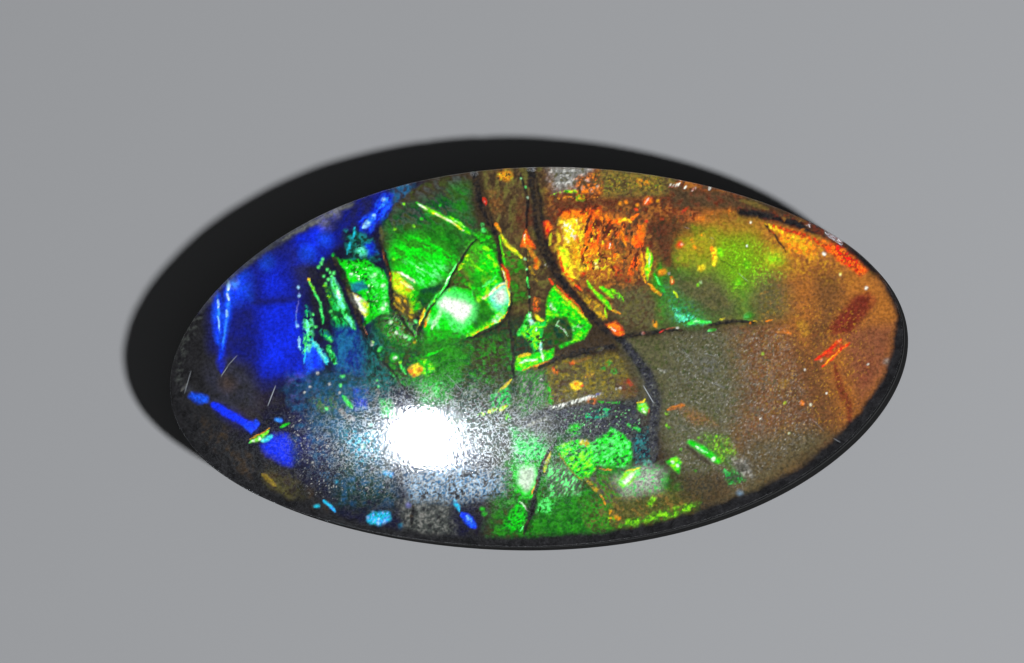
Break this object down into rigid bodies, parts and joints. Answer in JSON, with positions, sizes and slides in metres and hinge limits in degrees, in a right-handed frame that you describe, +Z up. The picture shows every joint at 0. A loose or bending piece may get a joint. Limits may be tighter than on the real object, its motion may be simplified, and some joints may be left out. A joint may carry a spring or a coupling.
{
  "type": "ammolite cabochon",
  "caption": "Oval domed ammolite cabochon: a crazed iridescent shell layer between a clear cap and a flat black shale backing.",
  "frame": {"origin": "centre of the flat base, on the surface that the stone rests on", "axes": "+X along the stone's length, towards its amber end; +Z up through the dome; +Y towards the side that is uppermost in the picture"},
  "size_m": [0.0302, 0.0156, 0.005],
  "materials": {
    "clear_cap": "polished, with fine handling scratches",
    "ammolite": "iridescent fossil shell, from blue through green to orange, crazed by dark cracks",
    "black_shale": "ground, satin"
  },
  "bodies": {
    "root": {"clear_cap": "clear_cap", "ammolite_layer": "ammolite", "shale_backing": "black_shale"}
  },
  "joints": []
}
